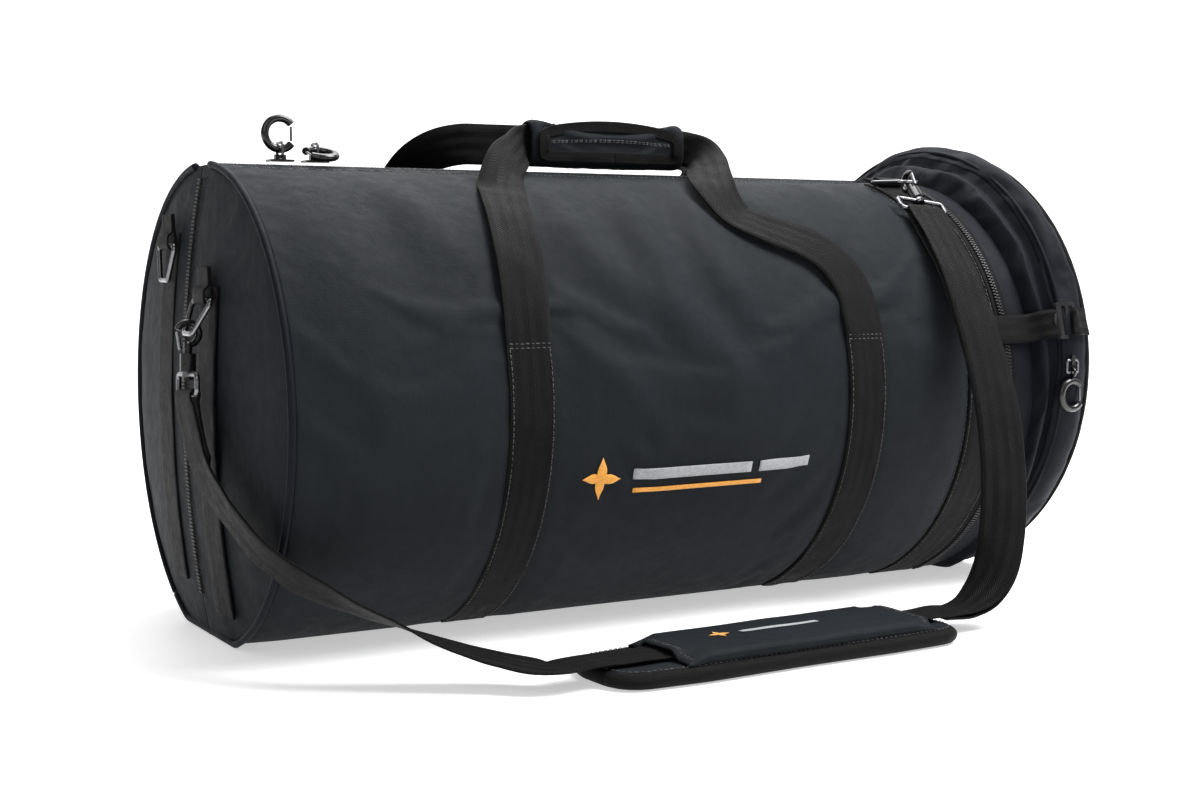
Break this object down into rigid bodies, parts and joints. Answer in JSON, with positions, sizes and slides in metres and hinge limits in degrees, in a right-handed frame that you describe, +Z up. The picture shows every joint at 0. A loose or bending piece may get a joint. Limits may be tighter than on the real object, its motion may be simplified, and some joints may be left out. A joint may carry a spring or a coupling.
{
  "type": "telescope carry case",
  "caption": "Padded cylindrical soft case with zip-open half, carrying handles, loose end section and a clip-on shoulder strap, for carrying a telescope tube.",
  "frame": {"origin": "on the floor, at the middle of the flat base under the main tube", "axes": "+X along the case from the strap-hook end to the loose end section, -Y to the front, +Z up"},
  "size_m": [0.8115, 0.5484, 0.425],
  "materials": {
    "case_cloth": "woven polyester, slight sheen",
    "padding": "closed-cell foam",
    "lining_cloth": "smooth nylon lining",
    "webbing": "ribbed woven webbing",
    "zip_tape": "woven tape",
    "zip_teeth": "satin moulded teeth",
    "ring_wire": "bright plated wire",
    "zip_metal": "black lacquered metal",
    "hook_black": "gloss black enamel",
    "gate_wire": "bright drawn wire",
    "buckle_plastic": "moulded black plastic",
    "pad_cloth": "woven cloth over foam",
    "sole_cloth": "coated wear cloth"
  },
  "bodies": {
    "case": {"front_shell_fabric": "case_cloth", "front_shell_foam": "padding", "front_lining": "lining_cloth", "front_end_fabric": "case_cloth", "front_end_foam": "padding", "base_sole": "sole_cloth", "end_band_fabric": "case_cloth", "end_band_foam": "padding", "end_piping_front": "case_cloth", "main_zip_tape_front": "zip_tape", "main_zip_teeth_front": "zip_teeth", "end_zip_case_side": "zip_teeth", "front_handle_anchors": "webbing", "collar_front": "webbing", "end_strip_front": "webbing", "front_strap_rings": "ring_wire", "gusset": "case_cloth", "compression_straps": "webbing"},
    "rear_lid": {"rear_shell_fabric": "case_cloth", "rear_shell_foam": "padding", "rear_lining": "lining_cloth", "rear_end_fabric": "case_cloth", "rear_end_foam": "padding", "end_piping_rear": "case_cloth", "main_zip_tape_rear": "zip_tape", "main_zip_teeth_rear": "zip_teeth", "end_zip_lid_side": "zip_teeth", "rear_handle_anchors": "webbing", "collar_rear": "webbing", "end_strip_rear": "webbing"},
    "front_handle": {"front_handle": "webbing", "grip_wrap": "pad_cloth"},
    "grip_flap": {"grip_flap": "pad_cloth"},
    "rear_handle": {"rear_handle": "webbing"},
    "end_ring_rear": {"end_ring_rear": "ring_wire"},
    "collar_ring_rear": {"collar_ring_rear": "ring_wire"},
    "zip_slider_a": {"zip_slider_a": "zip_metal"},
    "zip_pull_a": {"zip_pull_a": "zip_metal"},
    "clip_hook_a": {"clip_hook_a": "hook_black"},
    "clip_gate_a": {"clip_gate_a": "gate_wire"},
    "zip_slider_b": {"zip_slider_b": "zip_metal"},
    "zip_pull_b": {"zip_pull_b": "zip_metal"},
    "clip_hook_b": {"clip_hook_b": "hook_black"},
    "clip_gate_b": {"clip_gate_b": "gate_wire"},
    "end_section": {"end_section_fabric": "case_cloth", "end_section_foam": "padding"},
    "zip_slider_c": {"zip_slider_c": "zip_metal"},
    "zip_pull_c": {"zip_pull_c": "zip_metal"},
    "clip_hook_c": {"clip_hook_c": "hook_black"},
    "clip_gate_c": {"clip_gate_c": "gate_wire"},
    "ladder_lock_front": {"ladder_lock_front": "buckle_plastic"},
    "ladder_lock_rear": {"ladder_lock_rear": "buckle_plastic"},
    "shoulder_strap": {"strap_webbing": "webbing", "strap_swivels": "gate_wire", "tri_glide": "buckle_plastic"},
    "snap_hook_left": {"snap_hook_left": "hook_black"},
    "snap_gate_left": {"snap_gate_left": "gate_wire"},
    "snap_hook_right": {"snap_hook_right": "hook_black"},
    "snap_gate_right": {"snap_gate_right": "gate_wire"},
    "shoulder_pad": {"shoulder_pad": "pad_cloth"}
  },
  "joints": [
    {"name": "lid_hinge", "type": "hinge", "parent": "case", "child": "rear_lid", "pos_m": [0, 0.097, 0.01799], "axis": [-1, 0, 0], "range_deg": [0, 40]},
    {"name": "front_handle_fold", "type": "hinge", "parent": "case", "child": "front_handle", "pos_m": [0, -0.18286, 0.25256], "axis": [1, 0, 0], "range_deg": [0, 50]},
    {"name": "rear_handle_fold", "type": "hinge", "parent": "rear_lid", "child": "rear_handle", "pos_m": [0, 0.18286, 0.25256], "axis": [-1, 0, 0], "range_deg": [0, 100]},
    {"name": "flap_fold", "type": "hinge", "parent": "front_handle", "child": "grip_flap", "pos_m": [0, -0.015, 0.3876], "axis": [1, 0, 0], "range_deg": [0, 80]},
    {"name": "end_ring_swing", "type": "hinge", "parent": "rear_lid", "child": "end_ring_rear", "pos_m": [-0.40129, 0.05, 0.314], "axis": [0, 1, 0], "range_deg": [0, 110]},
    {"name": "collar_ring_swing", "type": "hinge", "parent": "rear_lid", "child": "collar_ring_rear", "pos_m": [0.263, 0.05606, 0.37527], "axis": [1, 0, 0], "range_deg": [0, 110]},
    {"name": "slider_a_run", "type": "slide", "parent": "case", "child": "zip_slider_a", "axis": [-1, 0, 0], "range_m": [0, 0.045]},
    {"name": "pull_a_swing", "type": "hinge", "parent": "zip_slider_a", "child": "zip_pull_a", "pos_m": [-0.322, 0, 0.3858], "axis": [0, -1, 0], "range_deg": [0, 12]},
    {"name": "hook_a_swing", "type": "hinge", "parent": "zip_pull_a", "child": "clip_hook_a", "pos_m": [-0.322, 0, 0.392], "axis": [0, -1, 0], "range_deg": [0, 10]},
    {"name": "gate_a_press", "type": "hinge", "parent": "clip_hook_a", "child": "clip_gate_a", "pos_m": [-0.31242, 0, 0.3991], "axis": [0, -1, 0], "range_deg": [0, 25], "stiffness_Nm_per_rad": 0.002},
    {"name": "slider_b_run", "type": "slide", "parent": "case", "child": "zip_slider_b", "axis": [1, 0, 0], "range_m": [0, 0.045]},
    {"name": "pull_b_swing", "type": "hinge", "parent": "zip_slider_b", "child": "zip_pull_b", "pos_m": [-0.292, 0, 0.3858], "axis": [0, 1, 0], "range_deg": [-10, 10]},
    {"name": "hook_b_swing", "type": "hinge", "parent": "zip_pull_b", "child": "clip_hook_b", "pos_m": [-0.292, 0, 0.392], "axis": [-1, 0, 0], "range_deg": [0, 50]},
    {"name": "gate_b_press", "type": "hinge", "parent": "clip_hook_b", "child": "clip_gate_b", "pos_m": [-0.30158, -0.01712, 0.38677], "axis": [0, 0.2924, -0.9563], "range_deg": [0, 25], "stiffness_Nm_per_rad": 0.002},
    {"name": "end_section_draw", "type": "slide", "parent": "case", "child": "end_section", "axis": [1, 0, 0], "range_m": [0, 0.08], "deforming": ["gusset", "compression_straps"]},
    {"name": "slider_c_run", "type": "hinge", "parent": "end_section", "child": "zip_slider_c", "pos_m": [0, 0, 0.2045], "axis": [1, 0, 0], "range_deg": [0, 25]},
    {"name": "pull_c_swing", "type": "hinge", "parent": "zip_slider_c", "child": "zip_pull_c", "pos_m": [0.352, -0.20997, 0.21183], "axis": [-1, 0, 0], "range_deg": [0, 30]},
    {"name": "hook_c_swing", "type": "hinge", "parent": "zip_pull_c", "child": "clip_hook_c", "pos_m": [0.352, -0.20997, 0.20043], "axis": [-1, 0, 0], "range_deg": [0, 25]},
    {"name": "gate_c_press", "type": "hinge", "parent": "clip_hook_c", "child": "clip_gate_c", "pos_m": [0.36158, -0.20997, 0.17473], "axis": [0, -1, 0], "range_deg": [0, 25], "stiffness_Nm_per_rad": 0.002},
    {"name": "lock_front_tilt", "type": "hinge", "parent": "end_section", "child": "ladder_lock_front", "pos_m": [0.361, -0.19968, 0.247], "axis": [0, 0, 1], "range_deg": [0, 8]},
    {"name": "lock_rear_tilt", "type": "hinge", "parent": "end_section", "child": "ladder_lock_rear", "pos_m": [0.361, 0.19968, 0.247], "axis": [0, 0, -1], "range_deg": [0, 8]},
    {"name": "strap_swing", "type": "hinge", "parent": "case", "child": "shoulder_strap", "pos_m": [-0.41726, -0.055, 0.24662], "axis": [-0.9817, 0.0419, -0.1857], "range_deg": [0, 30]},
    {"name": "hook_left_swivel", "type": "hinge", "parent": "shoulder_strap", "child": "snap_hook_left", "pos_m": [-0.41726, -0.055, 0.24662], "axis": [-0.0399, -0.0499, -0.998], "range_deg": [-12, 12]},
    {"name": "hook_right_swivel", "type": "hinge", "parent": "shoulder_strap", "child": "snap_hook_right", "pos_m": [0.263, -0.08407, 0.37527], "axis": [-0.2199, -0.7695, -0.5996], "range_deg": [-12, 12]},
    {"name": "gate_left_press", "type": "hinge", "parent": "snap_hook_left", "child": "snap_gate_left", "pos_m": [-0.42383, -0.05559, 0.23499], "axis": [-0.002, 0.9988, -0.0499], "range_deg": [0, 14], "stiffness_Nm_per_rad": 0.002},
    {"name": "gate_right_press", "type": "hinge", "parent": "snap_hook_right", "child": "snap_gate_right", "pos_m": [0.26038, -0.09697, 0.37295], "axis": [-0.9755, 0.1734, 0.1351], "range_deg": [0, 14], "stiffness_Nm_per_rad": 0.002},
    {"name": "pad_run", "type": "slide", "parent": "shoulder_strap", "child": "shoulder_pad", "axis": [0.9994, 0.0349, 0], "range_m": [-0.03, 0]}
  ]
}
